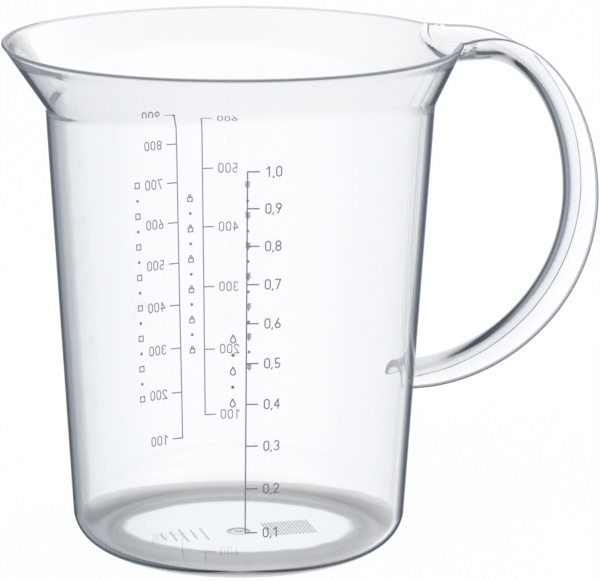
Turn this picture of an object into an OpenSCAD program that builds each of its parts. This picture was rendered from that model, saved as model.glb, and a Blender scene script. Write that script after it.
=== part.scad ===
// A clear one-litre measuring jug: one moulding of stiff clear plastic with printed scales.
// The moulding is drawn as three sections that meet face to face: barrel, rim collar and handle.
// Frame: origin on the table under the middle of the whole jug, handle and spout included;
// +Z up, handle towards +X, spout towards -X.

/* [Barrel] */
// Height of the rim above the table
jug_h = 152; // [120:1:200]
// Outer radius of the barrel's cone, measured at the table
base_r = 49.4; // [40:0.1:60]
// Outer radius at the top of the plain barrel, where the collar starts
barrel_top_r = 57.3; // [50:0.1:66]
// Thickness of the moulded wall, up to where the collar starts
wall = 2.2; // [1.2:0.1:3]
// Outer rounding between the barrel and its base
heel_r = 10; // [5:0.5:14]

/* [Base] */
// Height of the floor's upper face above the table
floor_top = 2; // [1.6:0.1:4]
// Depth of the hollow under the floor, inside the foot ring
foot_recess = 0.3; // [0.2:0.1:0.8]
// Width of the flat foot ring that the jug stands on
foot_w = 3; // [2:0.5:6]
// Radius of the dished gate mark under the middle of the floor
gate_r = 3.6; // [2:0.1:6]
// Depth of the gate mark
gate_depth = 0.3; // [0.1:0.05:0.5]
// Radius of the small nub in the middle of the gate mark
gate_nub_r = 1.1; // [0.5:0.1:1.8]
// Height of the moulded relief under the floor
relief_h = 0.15; // [0.05:0.05:0.2]
// Width of one raised line of that relief
relief_w = 0.5; // [0.3:0.1:1]

/* [Rim and spout] */
// Outer radius of the rim away from the spout
rim_r = 65.9; // [60:0.1:72]
// How much further the rim reaches at the spout
spout_reach = 4.6; // [1:0.1:10]
// Half the angle that the spout takes from the rim
spout_half_angle = 60; // [30:1:75]
// How far below the rim the flare starts at the spout and at the handle
flare_end_drop = 19; // [14:0.5:24]
// How far below the rim the flare starts at the two sides
flare_side_drop = 12; // [8:0.5:14]
// Half the height of the bend between barrel and flare, at the two sides
bend_side_h = 2.7; // [1:0.1:3.5]
// Half the height of that bend at the spout and at the handle
bend_end_h = 0.9; // [0.5:0.1:2]
// Height of the plain wall that belongs to the collar, under the flare
collar_skirt = 2.1; // [1:0.1:6]
// Thickness of the wall at the rim, to which the collar's wall thins out
rim_wall = 1.1; // [0.8:0.1:3]
// Rounding of the rim's two edges
lip_round = 0.5; // [0.2:0.1:0.8]

/* [Handle] */
// Reach of the handle's outer edges from the jug's axis
handle_reach = 109.6; // [95:0.1:125]
// How far below the rim the handle's widest point is
handle_mid_drop = 51.5; // [40:0.5:60]
// How far below the rim the outer edges of the handle's lower end meet the barrel
handle_low_drop = 106.8; // [90:0.1:120]
// Width of the handle
handle_w = 20; // [16:0.5:26]
// Depth of the handle's channel at the top, where the fingers hang
channel_top_d = 8.2; // [7:0.1:10]
// Depth of the channel at its widest reach
channel_mid_d = 7.4; // [6:0.1:10]
// Depth of the channel at its lower end
channel_low_d = 6.2; // [5:0.1:8]
// Thickness of the channel's wall
channel_wall = 2.2; // [1.4:0.1:3]
// Distance of the bend of the upper outer edge from the axis
top_bend_x = 72; // [70:0.5:76]
// Distance of the centre of the upper grip curve from the axis
grip_bend_x = 74; // [70:0.5:80]
// Distance of the centre of the lower curves from the axis
low_bend_x = 52; // [48:0.5:56]
// How much wider the channel is on each side where it opens into the rim
root_flare_w = 5.5; // [2:0.5:12]
// Distance over which that widening fades out
root_flare_l = 14; // [4:0.5:18]
// Further widening on each side, right at the rim, that rounds the corner between rim and handle
root_fillet_w = 5; // [1:0.5:6]
// Distance over which the rounding of that corner fades out
root_fillet_l = 2; // [1:0.5:4]

/* [Printed scales] */
// Thickness of the printed film
ink_t = 0.1; // [0.05:0.01:0.3]
// Width of the printed lines
line_w = 0.36; // [0.2:0.02:0.8]
// Width of the strokes of the numerals
stroke_w = 0.34; // [0.2:0.02:0.5]
// Height of the numerals
digit_h = 3.1; // [2:0.1:5]
// Length of the tick marks
tick_l = 3.3; // [2:0.1:6]
// Gap between a tick and its numeral
label_gap = 1.8; // [0.5:0.1:4]
// How far below the rim the top litre mark is, where the jug holds one litre
litre_top_drop = 27.6; // [26:0.1:40]
// How far below the rim the top mark of the sugar scale is
sugar_top_drop = 29.4; // [26:0.1:40]
// How far below the rim the top mark of the flour scale is
flour_top_drop = 32; // [28:0.1:44]
// Direction of the litre scale's line, seen from above
litre_angle = 257.6; // [240:0.1:280]
// Direction of the sugar scale's line
sugar_angle = 96.8; // [92:0.1:104]
// Direction of the flour scale's line
flour_angle = 88; // [80:0.1:90]
// Size of the small pictures that name each scale
icon_s = 2.6; // [1.5:0.1:4]
// Distance between the small pictures of a column
icon_pitch = 9.6; // [5:0.1:15]
// Distance from the litre line to its column of pictures
caption_gap = 3.8; // [2.5:0.1:6]

/* [Hidden] */

clear_colour = [0.84, 0.89, 0.93];
ink_colour = [0.27, 0.28, 0.31];

// Fineness of turned surfaces, of small arcs and of the printed film's backing
turn_fn = 180;
arc_fn = 48;

// One overrun serves all cuts
over = 1;
// Gap between the handle's faceted end faces and the turned surfaces they meet
seat_gap = 0.02;

barrel_h = jug_h - flare_end_drop - bend_end_h - collar_skirt;
flare_end_h = jug_h - flare_end_drop;
flare_side_h = jug_h - flare_side_drop;
handle_mid_h = jug_h - handle_mid_drop;
handle_low_h = jug_h - handle_low_drop;
litre_top_h = jug_h - litre_top_drop;
sugar_top_h = jug_h - sugar_top_drop;
flour_top_h = jug_h - flour_top_drop;

taper = (barrel_top_r - base_r) / barrel_h;
draft = atan(taper);
foot_r = base_r + taper * heel_r - heel_r / cos(draft);
inner_heel_r = heel_r - wall;
lip = min(lip_round, rim_wall / 2);

// Outer and inner radius of the plain cone at height z
function cone_r(z) = base_r + taper * z;
function cone_in_r(z) = cone_r(z) - wall / cos(draft);

// The jug's own axis stands behind the origin by as much as the handle outreaches the spout
axis_x = (collar_r(180, jug_h - lip) - handle_reach) / 2;

module moulding() {
    translate([axis_x, 0, 0]) color(clear_colour) children();
}

// Barrel

// Filled half-section of a drafted cup: a flat end at z0, a rounding and a sloped side.
// side_r is the side's radius at the table, r the rounding, top_z the height of its open end.
module cup_section(side_r, r, z0, top_z) {
    round_z = z0 + r;
    round_x = side_r + taper * round_z - r / cos(draft);
    translate([round_x, round_z]) circle(r, $fn = turn_fn);
    polygon([[0, z0], [round_x, z0], [round_x + r * cos(draft), round_z - r * sin(draft)],
             [side_r + taper * top_z, top_z], [0, top_z]]);
}

module barrel() {
    moulding()
    rotate_extrude($fn = turn_fn)
    difference() {
        intersection() {
            cup_section(base_r, heel_r, 0, barrel_h);
            square([barrel_top_r + over, barrel_h]);
        }
        intersection() {
            cup_section(base_r - wall / cos(draft), inner_heel_r, floor_top, barrel_h + over);
            translate([0, floor_top]) square([barrel_top_r + over, barrel_h]);
        }
        translate([0, -over]) square([foot_r - foot_w, foot_recess + over]);
        translate([gate_nub_r, 0]) square([gate_r - gate_nub_r, foot_recess + gate_depth]);
    }
}

// Relief under the floor: a patch of fine ribs on the handle side, plain bars on the other.
relief_z = foot_recess - relief_h;
patch_w = 15;
patch_d = 13;
patch_x = 16;
rib_pitch = 2 * relief_w;
rib_count = floor(patch_w / rib_pitch);

module base_relief_patch() {
    moulding()
    for (i = [0 : rib_count - 1])
        translate([patch_x - patch_w / 2 + i * rib_pitch, -patch_d / 2, relief_z])
            cube([relief_w, patch_d, relief_h]);
}

bar_pitch = 3.2;
bar_x = -11;
bar_length_shares = [0.9, 0.7, 1, 0.75, 0.45];

module base_relief_lines() {
    moulding()
    for (i = [0 : len(bar_length_shares) - 1])
        let (length = bar_length_shares[i] * patch_d)
        translate([bar_x - i * bar_pitch, -length / 2, relief_z])
            cube([relief_w, length, relief_h]);
}

// Rim collar with the spout

// How far a direction is from the spout, 0 to 180 degrees, with the spout at 180
function off_spout(a) = abs(180 - (a + 360) % 360);
// 1 at the spout and at the handle, 0 at the two sides
function end_share(a) = pow(cos(a), 2);
function rim_reach(a) = rim_r + spout_reach * exp(-pow(off_spout(a) / spout_half_angle, 3.8));
function flare_h(a) = flare_side_h + (flare_end_h - flare_side_h) * end_share(a);
function bend_h(a) = bend_side_h + (bend_end_h - bend_side_h) * end_share(a);
function flare_slope(a) = (rim_reach(a) - cone_r(jug_h)) / (jug_h - flare_h(a));
// Zero before the bend, straight after it, a parabola across it
function ramp(x, half) = x < -half ? 0 : x > half ? x : pow(x + half, 2) / (4 * half);
function ramp_slope(x, half) = x < -half ? 0 : x > half ? 1 : (x + half) / (2 * half);
function collar_r(a, z) = cone_r(z) + flare_slope(a) * ramp(z - flare_h(a), bend_h(a));
function collar_tilt(a, z) =
    atan(taper + flare_slope(a) * ramp_slope(z - flare_h(a), bend_h(a)));

// Half the channel's outer width at distance x from the axis: a broad bell and a short fillet widen it
function root_half_w(x) =
    let (out = max(x - root_x, 0))
    handle_w / 2 + root_flare_w * exp(-pow(out / root_flare_l, 2))
    + root_fillet_w * exp(-out / root_fillet_l);
root_x = rim_r - root_flare_w / 3;
root_in_w = root_half_w(root_x) - channel_wall;
root_in_d = channel_top_d - channel_wall;
// The rim dips where the handle's open channel runs into it
function notch_d(a) =
    let (y = abs(root_x * sin(a)))
    (cos(a) < 0 || y >= root_in_w) ? 0 : root_in_d * sqrt(1 - pow(y / root_in_w, 2));
function collar_top(a) = jug_h - notch_d(a);

// Directions of the collar's columns, closer together at the handle
fine_half = 20;
fine_step = 1;
coarse_step = 3.2;
collar_angles = concat([for (a = [-fine_half : fine_step : fine_half - fine_step]) a],
                       [for (a = [fine_half : coarse_step : 360 - fine_half - coarse_step / 2]) a]);
collar_rows = 11;

// The collar's wall thins out steadily from its foot to the rim
function wall_at(z) = wall + (rim_wall - wall) * (z - barrel_h) / (jug_h - barrel_h);

// Rows climb the outer face, cross the lip and come down the inner face
function collar_outer(a, s) =
    let (z = barrel_h + (collar_top(a) - lip - barrel_h) * s) [collar_r(a, z), z];
function collar_inner(a, s) =
    let (top = collar_top(a) - lip,
         z0 = barrel_h - wall * sin(collar_tilt(a, barrel_h)),
         z1 = top - wall_at(top) * sin(collar_tilt(a, top)),
         z = z0 + (z1 - z0) * s,
         tilt = collar_tilt(a, z),
         thick = wall + (wall_at(top) - wall) * s)
    [collar_r(a, z) - thick * cos(tilt), z + thick * sin(tilt)];
function collar_column(a) =
    let (o = collar_outer(a, 1), i = collar_inner(a, 1))
    concat([for (j = [0 : collar_rows]) collar_outer(a, j / collar_rows)],
           [[o[0] - lip / 2, o[1] + lip], [i[0] + lip, i[1] + lip]],
           [for (j = [collar_rows : -1 : 0]) collar_inner(a, j / collar_rows)]);

// Faces of a closed band: columns of points in turn, each column a closed loop
function band_faces(columns, rows, closed) =
    [for (c = [0 : columns - (closed ? 1 : 2)], r = [0 : rows - 1], half = [0, 1])
        let (c2 = (c + 1) % columns, r2 = (r + 1) % rows,
             p = c * rows + r, q = c2 * rows + r, s = c2 * rows + r2, t = c * rows + r2)
        half == 0 ? [p, s, q] : [p, t, s]];

module rim_collar() {
    columns = [for (a = collar_angles) [for (p = collar_column(a))
        [p[0] * cos(a), p[0] * sin(a), p[1]]]];
    moulding()
    polyhedron(points = [for (c = columns, p = c) p],
               faces = band_faces(len(columns), len(columns[0]), true));
}

// Handle: an arched channel, open away from the fingers

top_rise = handle_mid_drop;
low_drop = handle_low_drop - handle_mid_drop;
grip_reach = handle_reach - channel_mid_d;

// Outer edge of the channel and the crest of its grip, as [x, z], at angle t of each quarter curve
function edge_upper(t) = [top_bend_x + (handle_reach - top_bend_x) * cos(t),
                          handle_mid_h + top_rise * sin(t)];
function crest_upper(t) = [grip_bend_x + (grip_reach - grip_bend_x) * cos(t),
                           handle_mid_h + (top_rise - channel_top_d) * sin(t)];
function edge_lower(t) = [low_bend_x + (handle_reach - low_bend_x) * cos(t),
                          handle_mid_h - low_drop * sin(t)];
function crest_lower(t) = [low_bend_x + (grip_reach - low_bend_x) * cos(t),
                           handle_mid_h - (low_drop - channel_low_d) * sin(t)];

// Loop of one cross-section: outer arch, then inner arch back. half_w and depth are its size.
arch_steps = 12;
function arch(half_w, depth) = concat(
    [for (i = [0 : arch_steps]) let (b = 180 * i / arch_steps) [half_w * cos(b), depth * sin(b)]],
    [for (i = [arch_steps : -1 : 0]) let (b = 180 * i / arch_steps)
        [(half_w - channel_wall) * cos(b), (depth - channel_wall) * sin(b)]]);

// A ring between an edge point and a crest point
function ring(edge, crest, half_w) =
    let (depth = norm(crest - edge), dir = (crest - edge) / depth)
    [for (p = arch(half_w, depth))
        [edge[0] + dir[0] * p[1], p[0], edge[1] + dir[1] * p[1]]];
// End rings lie on the outside of the jug
function rim_ring() =
    [for (p = arch(root_half_w(root_x), channel_top_d))
        let (z = jug_h - p[1], r = collar_r(0, z) + seat_gap)
        [sqrt(r * r - p[0] * p[0]), p[0], z]];
function barrel_ring() =
    [for (p = arch(handle_w / 2, channel_low_d))
        let (z = handle_low_h + p[1], r = cone_r(z) + seat_gap)
        [sqrt(r * r - p[0] * p[0]), p[0], z]];

root_steps = 6;
upper_steps = 22;
lower_steps = 24;
last_low_angle = 84;

module handle() {
    root = [for (i = [1 : root_steps])
        let (s = i / root_steps, x = root_x + (top_bend_x - root_x) * s,
             crest_x = root_x + (grip_bend_x - root_x) * s)
        ring([x, jug_h], [crest_x, jug_h - channel_top_d], root_half_w(x))];
    upper = [for (i = [1 : upper_steps])
        let (t = 90 - 90 * i / upper_steps, e = edge_upper(t))
        ring(e, crest_upper(t), root_half_w(e[0]))];
    lower = [for (i = [1 : lower_steps])
        let (t = last_low_angle * i / lower_steps)
        ring(edge_lower(t), crest_lower(t), handle_w / 2)];
    rings = concat([rim_ring()], root, upper, lower, [barrel_ring()]);
    n = len(rings[0]);
    last = (len(rings) - 1) * n;
    moulding()
    polyhedron(
        points = [for (r = rings, p = r) p],
        faces = concat(
            band_faces(len(rings), n, false),
            [for (i = [0 : arch_steps - 1], half = [0, 1])
                half == 0 ? [i, n - 2 - i, i + 1] : [i, n - 1 - i, n - 2 - i]],
            [for (i = [0 : arch_steps - 1], half = [0, 1])
                half == 0 ? [last + i, last + i + 1, last + n - 2 - i]
                          : [last + i, last + n - 2 - i, last + n - 1 - i]]));
}

// Printed scales

// Puts a flat drawing on the wall at direction a and height z: its x runs to the reader's right
module on_wall(a, z) {
    rotate([0, 0, a]) translate([cone_r(z), 0, z]) rotate([0, draft, 0]) rotate([90, 0, 90])
        translate([0, 0, -over]) linear_extrude(2 * over) children();
}

// The film that the drawings are cut from, as thick as the ink
module film(z0, z1) {
    rotate_extrude($fn = 2 * turn_fn)
        polygon([[cone_r(z0), z0], [cone_r(z0) + ink_t, z0],
                 [cone_r(z1) + ink_t, z1], [cone_r(z1), z1]]);
}

module print(z0, z1) {
    translate([axis_x, 0, 0]) color(ink_colour)
    intersection() {
        film(z0, z1);
        union() children();
    }
}

// Contents up to height z, as a share of a cone's volume, less what the rounded heel takes away
heel_loss = (1 - PI / 4) * pow(inner_heel_r, 2) * 2 * PI * (cone_in_r(floor_top) - inner_heel_r / 4);
function contents(z) =
    PI / (3 * taper) * (pow(cone_in_r(z), 3) - pow(cone_in_r(floor_top), 3)) - heel_loss;
// Height of a given contents
function fill_h(v) =
    (pow(pow(cone_in_r(floor_top), 3) + 3 * taper * (v + heel_loss) / PI, 1 / 3)
     - cone_in_r(0)) / taper;
// Height of mark i of n equal portions under a top mark
function mark_h(i, n, top_h) = fill_h(contents(top_h) * i / n);

litre_marks = 10;
sugar_marks = 9;
flour_marks = 6;

// Angle that a length takes on the wall at height z
function wall_angle(len, z) = len / cone_r(z) * 180 / PI;

module scale_line(a, n, top_h) {
    z0 = mark_h(1, n, top_h);
    length = (top_h - z0) / cos(draft) + line_w;
    print(z0 - line_w, top_h + line_w)
        on_wall(a, (z0 + top_h) / 2) square([line_w, length], center = true);
}

// side is 1 for ticks to the reader's right of the line and -1 for the left
module scale_ticks(a, n, top_h, side) {
    z0 = mark_h(1, n, top_h);
    print(z0 - line_w, top_h + line_w)
        for (i = [1 : n])
            let (z = mark_h(i, n, top_h))
            on_wall(a + side * wall_angle((tick_l + line_w) / 2, z), z)
                square([tick_l, line_w], center = true);
}

// Numerals are drawn with strokes on a cell digit_w wide and digit_h high, centred on it
digit_w = 0.56 * digit_h;
digit_pitch = digit_w + 1.6 * stroke_w;
bowl_r = digit_w / 2;

// Straight stroke from p to q
module bar(p, q) {
    d = q - p;
    translate(p) rotate(atan2(d[1], d[0])) translate([0, -stroke_w / 2])
        square([norm(d), stroke_w]);
}

// Round stroke about c from angle a0 to a1, with outer radius r
module bow(c, r, a0, a1) {
    reach = 2 * r;
    steps = 6;
    translate(c)
    intersection() {
        difference() {
            circle(r, $fn = arc_fn);
            circle(r - stroke_w, $fn = arc_fn);
        }
        polygon(concat([[0, 0]],
            [for (i = [0 : steps]) let (b = a0 + (a1 - a0) * i / steps) reach * [cos(b), sin(b)]]));
    }
}

module oval(w, h) {
    for (s = [-1, 1]) translate([0, s * (h - w) / 2]) circle(w / 2, $fn = arc_fn);
    square([w, h - w], center = true);
}

module digit(n) {
    top = digit_h / 2;
    mid = stroke_w / 2;
    side = digit_w / 2 - mid;
    low_c = [0, bowl_r - top];
    high_r = (digit_h + stroke_w) / 2 - bowl_r;
    high_c = [0, top - high_r];
    if (n == 0) difference() {
        oval(digit_w, digit_h);
        oval(digit_w - 2 * stroke_w, digit_h - 2 * stroke_w);
    }
    if (n == 1) {
        bar([mid, -top], [mid, top]);
        bar([mid, top - mid], [-side, top - digit_w / 2]);
    }
    if (n == 2) {
        bow([0, top - bowl_r], bowl_r, -35, 180);
        bar([side * 0.86, top - bowl_r - side * 0.6], [-side, mid - top]);
        bar([-side - mid, mid - top], [side + mid, mid - top]);
    }
    if (n == 3) {
        bow(high_c, high_r, -90, 160);
        bow(low_c, bowl_r, -160, 90);
    }
    if (n == 4) {
        bar([side / 2, -top], [side / 2, top]);
        bar([side / 2, top - mid], [-side, mid - top / 3]);
        bar([-side - mid, -top / 3], [side + mid, -top / 3]);
    }
    if (n == 5) {
        bar([-side + mid, top - mid], [side, top - mid]);
        bar([-side + mid, top], [-side + mid, low_c[1] + bowl_r / 2]);
        bow(low_c, bowl_r, -150, 140);
    }
    if (n == 6) {
        bow(low_c, bowl_r, 0, 360);
        bar([-side, low_c[1] + mid], [side / 2, top]);
    }
    if (n == 7) {
        bar([-side - mid, top - mid], [side + mid, top - mid]);
        bar([side, top - mid], [-side / 2, -top]);
    }
    if (n == 8) {
        bow(low_c, bowl_r, 0, 360);
        bow(high_c, high_r, 0, 360);
    }
    if (n == 9) rotate(180) digit(6);
}

module decimal_comma() {
    bar([0, stroke_w - digit_h / 2], [-stroke_w, -stroke_w - digit_h / 2]);
}

// Three places: hundreds of grams, read to the right of x = 0
module grams(hundreds) {
    for (i = [0 : 2])
        translate([digit_w / 2 + i * digit_pitch, 0]) digit(i == 0 ? hundreds : 0);
}

// Whole litres, a comma and tenths
module litres(tenths) {
    comma_room = 2 * stroke_w;
    translate([digit_w / 2, 0]) digit(floor(tenths / 10));
    translate([digit_w + comma_room, 0]) decimal_comma();
    translate([digit_pitch + digit_w / 2 + comma_room, 0]) digit(tenths % 10);
}

grams_w = digit_w + 2 * digit_pitch;
label_start = tick_l + label_gap;
label_half_h = digit_h / 2 + 2 * stroke_w;

module litre_line() { scale_line(litre_angle, litre_marks, litre_top_h); }
module litre_ticks() { scale_ticks(litre_angle, litre_marks, litre_top_h, 1); }
module litre_numerals() {
    print(mark_h(1, litre_marks, litre_top_h) - label_half_h, litre_top_h + label_half_h)
        for (i = [1 : litre_marks])
            let (z = mark_h(i, litre_marks, litre_top_h))
            on_wall(litre_angle + wall_angle(label_start, z), z) litres(i);
}

module sugar_line() { scale_line(sugar_angle, sugar_marks, sugar_top_h); }
module sugar_ticks() { scale_ticks(sugar_angle, sugar_marks, sugar_top_h, 1); }
module sugar_numerals() {
    print(mark_h(1, sugar_marks, sugar_top_h) - label_half_h, sugar_top_h + label_half_h)
        for (i = [1 : sugar_marks])
            let (z = mark_h(i, sugar_marks, sugar_top_h))
            on_wall(sugar_angle + wall_angle(label_start, z), z) grams(i);
}

module flour_line() { scale_line(flour_angle, flour_marks, flour_top_h); }
module flour_ticks() { scale_ticks(flour_angle, flour_marks, flour_top_h, -1); }
module flour_numerals() {
    print(mark_h(1, flour_marks, flour_top_h) - label_half_h, flour_top_h + label_half_h)
        for (i = [1 : flour_marks])
            let (z = mark_h(i, flour_marks, flour_top_h))
            on_wall(flour_angle - wall_angle(label_start + grams_w, z), z) grams(i);
}

// Small pictures stand in a column beside each scale and name what it measures.
// Each column is [distance from its line along the wall, lowest height, highest height].
litre_column_shares = [0.45, 0.68];
sugar_column_shares = [0.26, 0.87];
flour_column_shares = [0.33, 0.86];
gram_column_shares = [0.38, 0.78];
label_end = label_start + grams_w + 1.2 * icon_s;
function column(offset, shares, top_h) = [offset, shares[0] * top_h, shares[1] * top_h];
litre_column = column(-caption_gap, litre_column_shares, litre_top_h);
sugar_column = column(label_end, sugar_column_shares, sugar_top_h);
flour_column = column(-label_end, flour_column_shares, flour_top_h);
gram_column = column(0, gram_column_shares, flour_top_h);
// The column for grams stands midway between the two lines
gram_angle = (sugar_angle + flour_angle) / 2;

module icon_column(a, column) {
    count = floor((column[2] - column[1]) / icon_pitch);
    for (i = [0 : count])
        let (z = column[1] + i * icon_pitch)
        on_wall(a + wall_angle(column[0], z), z) children();
}

// Round dots between the pictures of a column
module dot_column(a, column) {
    count = floor((column[2] - column[1]) / icon_pitch);
    for (i = [0 : count - 1])
        let (z = column[1] + (i + 0.5) * icon_pitch)
        on_wall(a + wall_angle(column[0], z), z) circle(1.4 * stroke_w, $fn = arc_fn);
}

module column_print(column) {
    print(column[1] - icon_s, column[2] + icon_s) children();
}

// A drop: a round bowl and two straight sides
module drop() {
    r = 0.34 * icon_s;
    bow([0, -0.16 * icon_s], r, 150, 390);
    for (s = [-1, 1]) bar([s * (r - stroke_w / 2) * cos(30), 0], [0, icon_s / 2]);
}

// A lump of sugar: a square outline
module lump() {
    w = 0.76 * icon_s;
    difference() {
        square(w, center = true);
        square(w - 2 * stroke_w, center = true);
    }
}

// An ear of grain: a stalk with slanting husks
module ear() {
    bar([0, -icon_s / 2], [0, icon_s / 2]);
    for (s = [-1, 1], j = [0 : 2])
        let (y = icon_s * (j / 4 - 0.3))
        bar([0, y], [s * 0.3 * icon_s, y + 0.26 * icon_s]);
}

// A balance weight: a broad foot, a body and a knob
module balance_weight() {
    w = 0.72 * icon_s;
    translate([0, -0.14 * icon_s]) difference() {
        square([w, 0.62 * icon_s], center = true);
        square([w - 2 * stroke_w, 0.62 * icon_s - 2 * stroke_w], center = true);
    }
    bow([0, 0.3 * icon_s], 0.2 * icon_s, 0, 360);
}

module litre_drops() { column_print(litre_column) icon_column(litre_angle, litre_column) drop(); }
module sugar_cubes() { column_print(sugar_column) icon_column(sugar_angle, sugar_column) lump(); }
module flour_ears() { column_print(flour_column) icon_column(flour_angle, flour_column) ear(); }
module gram_weights() {
    column_print(gram_column) icon_column(gram_angle, gram_column) balance_weight();
}
module litre_dots() { column_print(litre_column) dot_column(litre_angle, litre_column); }
module sugar_dots() { column_print(sugar_column) dot_column(sugar_angle, sugar_column); }
module flour_dots() { column_print(flour_column) dot_column(flour_angle, flour_column); }
module gram_dots() { column_print(gram_column) dot_column(gram_angle, gram_column); }

barrel();
rim_collar();
handle();
base_relief_lines();
base_relief_patch();
litre_line();
litre_ticks();
litre_numerals();
litre_drops();
sugar_line();
sugar_ticks();
sugar_numerals();
sugar_cubes();
flour_line();
flour_ticks();
flour_numerals();
flour_ears();
gram_weights();
litre_dots();
sugar_dots();
flour_dots();
gram_dots();
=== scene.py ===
"""Looks of the clear measuring jug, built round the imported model.

Lengths are in millimetres until a mesh is made. Shapes are worked out round the jug's own axis, with
the spout towards minus x and the handle towards plus x, and AXIS_X moves them into the frame."""

import math

import bpy
import numpy as np
from mathutils import Matrix


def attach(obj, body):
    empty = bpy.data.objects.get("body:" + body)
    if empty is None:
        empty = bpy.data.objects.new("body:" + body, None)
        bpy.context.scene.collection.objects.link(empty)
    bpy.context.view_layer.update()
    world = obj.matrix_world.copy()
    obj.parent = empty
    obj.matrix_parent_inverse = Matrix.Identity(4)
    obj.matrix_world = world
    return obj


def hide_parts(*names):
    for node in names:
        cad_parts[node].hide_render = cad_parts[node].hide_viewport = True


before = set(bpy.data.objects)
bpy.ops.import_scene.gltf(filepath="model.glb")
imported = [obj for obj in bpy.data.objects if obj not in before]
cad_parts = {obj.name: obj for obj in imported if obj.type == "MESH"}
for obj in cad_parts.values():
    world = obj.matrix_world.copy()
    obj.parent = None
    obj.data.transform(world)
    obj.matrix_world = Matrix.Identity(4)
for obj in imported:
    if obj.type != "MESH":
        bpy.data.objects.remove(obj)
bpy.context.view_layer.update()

MM = 0.001
SMOOTH_ANGLE = math.radians(32)

# Numbers of the moulding's materials: the jug's walls, its lip, the handle and its edges, and marks under
# the base. The lip, the handle's edges and the marks have greyer copies of the clear plastic, whose grey is
# painted shade; the marks are also really a little matt
WALLS, LIP, HANDLE, HANDLE_EDGES, MARKS = 0, 1, 2, 3, 4

# Sizes of the moulding, the same as in the part's source
JUG_H, BASE_R, BARREL_TOP_R, WALL, HEEL_R = 152, 49.4, 57.3, 2.2, 10
FLOOR_TOP, FOOT_RECESS, FOOT_W = 2, 0.3, 3
GATE_R, GATE_DEPTH = 3.6, 0.3
RELIEF_H, RELIEF_W = 0.15, 0.5
PATCH_W, PATCH_D, PATCH_X = 15, 13, 16
BAR_X, BAR_PITCH, BAR_LENGTH_SHARES = -11, 3.2, (0.9, 0.7, 1, 0.75, 0.45)
RIM_R, SPOUT_REACH, SPOUT_HALF_ANGLE, SPOUT_POWER = 65.9, 4.6, 60, 3.8
FLARE_END_H, FLARE_SIDE_H = JUG_H - 19, JUG_H - 12
BEND_SIDE_H, BEND_END_H, COLLAR_SKIRT, LIP_ROUND = 2.7, 0.9, 2.1, 0.5
BARREL_H = FLARE_END_H - BEND_END_H - COLLAR_SKIRT
HANDLE_REACH, HANDLE_W, CHANNEL_WALL = 109.6, 20, 2.2
HANDLE_MID_H, HANDLE_LOW_H = JUG_H - 51.5, JUG_H - 106.8
CHANNEL_TOP_D, CHANNEL_MID_D, CHANNEL_LOW_D = 8.2, 7.4, 6.2
TOP_BEND_X, GRIP_BEND_X, LOW_BEND_X = 72, 74, 52
ROOT_FLARE_W, ROOT_FLARE_L, ROOT_FILLET_W, ROOT_FILLET_L = 5.5, 14, 5, 2
ROOT_X = RIM_R - ROOT_FLARE_W / 3
TAPER = (BARREL_TOP_R - BASE_R) / BARREL_H
DRAFT = math.atan(TAPER)

# The barrel's outside takes in this much of the printed film, so that no air lies between them
INK_BED = 0.03
# The inside of the collar, each size at the sides and then at the ends: how many degrees less it leans than
# the outside, how its bend is shifted and spread against the outer one, and the wall's thickness at the lip
FLARE_WEDGE, INNER_BEND_RISE, INNER_BEND_SPREAD = (1.74, 0.49), (0.02, -0.3), (1.15, 1.0)
LIP_WALL = (2.1, 1.2)
# The height over which the wall runs out to the lip
LIP_RUN = 3.5
# The slope at the inside of the foot ring
FOOT_SLOPE = 0.3
# Rounding of the channel's long edges, and how far its last ring turns down before it runs into the barrel
EDGE_ROUND, LOW_TURN = 0.45, 84
# The trough through the rim: how far its lid stands above the rim, how much wider it is than the channel's
# own face where they meet, and by how much it then draws in along the handle, at these shares of the way
TROUGH_LID, TROUGH_SPARE, TROUGH_DRAW_IN = 3, 0.03, 0.5
TROUGH_SHARES = (1, 0.75, 0.5, 0.25, 0.125)
# Its mouth: half its width at the rim, its turning radius under and beside the opening, the turn that its
# sides begin with, the angle at which it meets the collar, and how far it runs on into the jug in two steps
MOUTH_W, MOUTH_DEEP_R, MOUTH_SIDE_R = 17.6, 2.8, 8
MOUTH_BEGIN, MOUTH_CROSSING = math.radians(45), math.radians(5)
MOUTH_RUN_ON = (2.5, 6)
# A first guess at the end of its turn, and the rounds that settle it
MOUTH_END_GUESS, MOUTH_ROUNDS = math.radians(60), 6

# Fineness of the meshes: columns round the jug, rows in the gate mark, a heel, a plain wall, the collar's
# foot, its bend, its flare and a quarter of the lip, steps in a small quarter round, in the channel's arch
# and in the trough's, and rings along the handle and in the mouth
COLUMNS, GATE_ROWS, HEEL_ROWS, WALL_ROWS = 288, 18, 20, 16
SKIRT_ROWS, BEND_ROWS, FLARE_ROWS, LIP_ROWS = 4, 16, 18, 4
ROUND_STEPS, ARCH_STEPS, TROUGH_STEPS = 3, 24, 40
ROOT_RINGS, UPPER_RINGS, LOWER_RINGS, MOUTH_RINGS = 8, 44, 48, 9
# A row this close to a corner keeps its shading crisp. The plain wall's rows keep clear of the heel and
# of the collar.
CRISP, CLEAR_OF_HEEL, CLEAR_OF_COLLAR = 0.2, 4, 5
# Rows across the flat of the base and the floor, as shares of the radius
FLAT_SHARES, FLOOR_SHARES = (0.3, 0.6), (0.66, 0.33)


# Shapes

def off_spout(a):
    """Angle from the spout's direction, in degrees, 0 to 180."""
    return np.abs(180 - np.mod(np.degrees(a), 360))


def cone_r(z):
    """Outer radius of the plain barrel: a straight line in height."""
    return BASE_R + TAPER * z


def end_share(a):
    """Squared cosine of the direction: 1 at the spout and the handle, 0 at the sides."""
    return np.cos(a) ** 2


def flare_h(a):
    """Height where the flare starts, from the sides' height to the ends' by the squared cosine."""
    return FLARE_SIDE_H + (FLARE_END_H - FLARE_SIDE_H) * end_share(a)


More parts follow.
